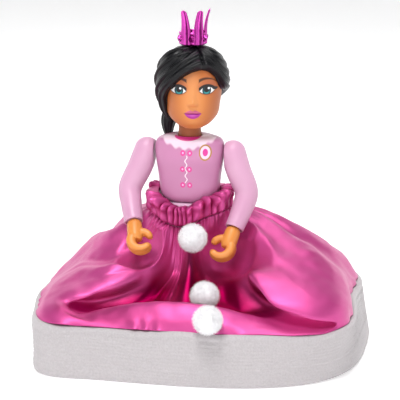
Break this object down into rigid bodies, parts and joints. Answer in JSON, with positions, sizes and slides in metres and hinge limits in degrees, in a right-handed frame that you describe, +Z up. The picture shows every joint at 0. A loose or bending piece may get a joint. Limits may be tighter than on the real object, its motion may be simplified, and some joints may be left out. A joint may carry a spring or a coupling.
{
  "type": "plastic doll",
  "caption": "Jointed plastic play doll with bent sleeved arms, C-grip hands, moulded hair and a pronged crown, dressed in a gathered satin skirt with a deep fleece hem and sewn-on pompoms.",
  "frame": {"origin": "on the floor under the middle of the overall box, which is also the middle of the hem", "axes": "+Z up, the doll faces -Y, its own left side lies at +X"},
  "size_m": [0.0952, 0.0926, 0.0976],
  "materials": {
    "elastic": "woven",
    "satin": "glossy satin weave",
    "fleece": "short soft pile",
    "pompom": "fluffy",
    "pale_plastic": "satin",
    "pin_metal": "smooth",
    "pink_plastic": "satin",
    "skin_plastic": "satin",
    "hair_plastic": "satin",
    "crown_plating": "metallised"
  },
  "bodies": {
    "figure": {"torso_front": "pink_plastic", "torso_back": "pink_plastic", "neck": "skin_plastic", "hip_block": "pale_plastic", "hip_axle": "pin_metal", "skirt": "satin", "waist_ruffle": "satin", "waist_elastic": "elastic", "fleece_hem": "fleece", "pompom_top": "pompom", "pompom_middle": "pompom", "pompom_bottom": "pompom"},
    "head": {"head": "skin_plastic", "hair": "hair_plastic"},
    "crown": {"crown": "crown_plating"},
    "left_arm": {"left_arm": "pink_plastic"},
    "left_hand": {"left_hand": "skin_plastic"},
    "right_arm": {"right_arm": "pink_plastic"},
    "right_hand": {"right_hand": "skin_plastic"},
    "left_thigh": {"left_thigh": "pale_plastic", "left_knee_pin": "pin_metal"},
    "left_shin": {"left_shin": "pale_plastic"},
    "right_thigh": {"right_thigh": "pale_plastic", "right_knee_pin": "pin_metal"},
    "right_shin": {"right_shin": "pale_plastic"}
  },
  "joints": [
    {"name": "head_turn", "type": "hinge", "parent": "figure", "child": "head", "pos_m": [-0.00425, 0, 0.0645], "axis": [0, 0, 1], "range_deg": [-90, 15]},
    {"name": "crown_lift", "type": "slide", "parent": "head", "child": "crown", "axis": [0, 0, 1], "range_m": [0, 0.006]},
    {"name": "left_shoulder", "type": "hinge", "parent": "figure", "child": "left_arm", "pos_m": [0.00605, 0, 0.0565], "axis": [-1, 0, 0], "range_deg": [0, 120]},
    {"name": "right_shoulder", "type": "hinge", "parent": "figure", "child": "right_arm", "pos_m": [-0.01455, 0, 0.0565], "axis": [-1, 0, 0], "range_deg": [0, 120]},
    {"name": "left_wrist", "type": "hinge", "parent": "left_arm", "child": "left_hand", "pos_m": [0.01005, -0.00764, 0.03622], "axis": [0.2671, 0.5585, 0.7853], "continuous": true},
    {"name": "right_wrist", "type": "hinge", "parent": "right_arm", "child": "right_hand", "pos_m": [-0.01855, -0.01039, 0.03748], "axis": [-0.2671, 0.6623, 0.6999], "continuous": true},
    {"name": "left_hip", "type": "hinge", "parent": "figure", "child": "left_thigh", "pos_m": [0.00045, 0, 0.036], "axis": [-1, 0, 0], "range_deg": [-30, 15]},
    {"name": "right_hip", "type": "hinge", "parent": "figure", "child": "right_thigh", "pos_m": [-0.00895, 0, 0.036], "axis": [-1, 0, 0], "range_deg": [-30, 15]},
    {"name": "left_knee", "type": "hinge", "parent": "left_thigh", "child": "left_shin", "pos_m": [0.00045, 0, 0.0185], "axis": [1, 0, 0], "range_deg": [0, 55]},
    {"name": "right_knee", "type": "hinge", "parent": "right_thigh", "child": "right_shin", "pos_m": [-0.00895, 0, 0.0185], "axis": [1, 0, 0], "range_deg": [0, 55]}
  ]
}
